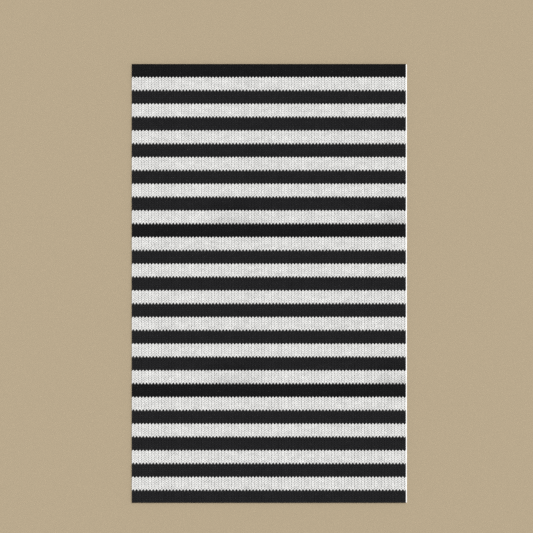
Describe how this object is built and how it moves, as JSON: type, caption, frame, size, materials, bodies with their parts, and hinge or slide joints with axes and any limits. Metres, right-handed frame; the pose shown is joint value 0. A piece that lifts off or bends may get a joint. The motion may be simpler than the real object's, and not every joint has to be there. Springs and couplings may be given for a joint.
{
  "type": "striped knit fabric sheet",
  "caption": "Flat rectangular sheet of black and white striped stockinette knit, bonded to a white backing sheet that shows as a bare margin along one long edge.",
  "frame": {"origin": "centre of the underside of the sheet, backing margin included", "axes": "+X across the sheet along the stripes, towards the bare margin; +Y along the sheet, towards the end that the stitches' Vs open to; +Z out of the knitted face"},
  "size_m": [0.2, 0.3188, 0.0021],
  "materials": {
    "backing": "smooth matt white nonwoven",
    "adhesive": "thin dull hot-melt film",
    "black_yarn": "matt soft-spun knitting yarn",
    "white_yarn": "matt soft-spun knitting yarn"
  },
  "bodies": {
    "root": {"backing_sheet": "backing", "adhesive_film": "adhesive", "black_stripe_01": "black_yarn", "black_stripe_02": "black_yarn", "black_stripe_03": "black_yarn", "black_stripe_04": "black_yarn", "black_stripe_05": "black_yarn", "black_stripe_06": "black_yarn", "black_stripe_07": "black_yarn", "black_stripe_08": "black_yarn", "black_stripe_09": "black_yarn", "black_stripe_10": "black_yarn", "black_stripe_11": "black_yarn", "black_stripe_12": "black_yarn", "black_stripe_13": "black_yarn", "black_stripe_14": "black_yarn", "black_stripe_15": "black_yarn", "black_stripe_16": "black_yarn", "black_stripe_17": "black_yarn", "white_stripe_01": "white_yarn", "white_stripe_02": "white_yarn", "white_stripe_03": "white_yarn", "white_stripe_04": "white_yarn", "white_stripe_05": "white_yarn", "white_stripe_06": "white_yarn", "white_stripe_07": "white_yarn", "white_stripe_08": "white_yarn", "white_stripe_09": "white_yarn", "white_stripe_10": "white_yarn", "white_stripe_11": "white_yarn", "white_stripe_12": "white_yarn", "white_stripe_13": "white_yarn", "white_stripe_14": "white_yarn", "white_stripe_15": "white_yarn", "white_stripe_16": "white_yarn"}
  },
  "joints": []
}
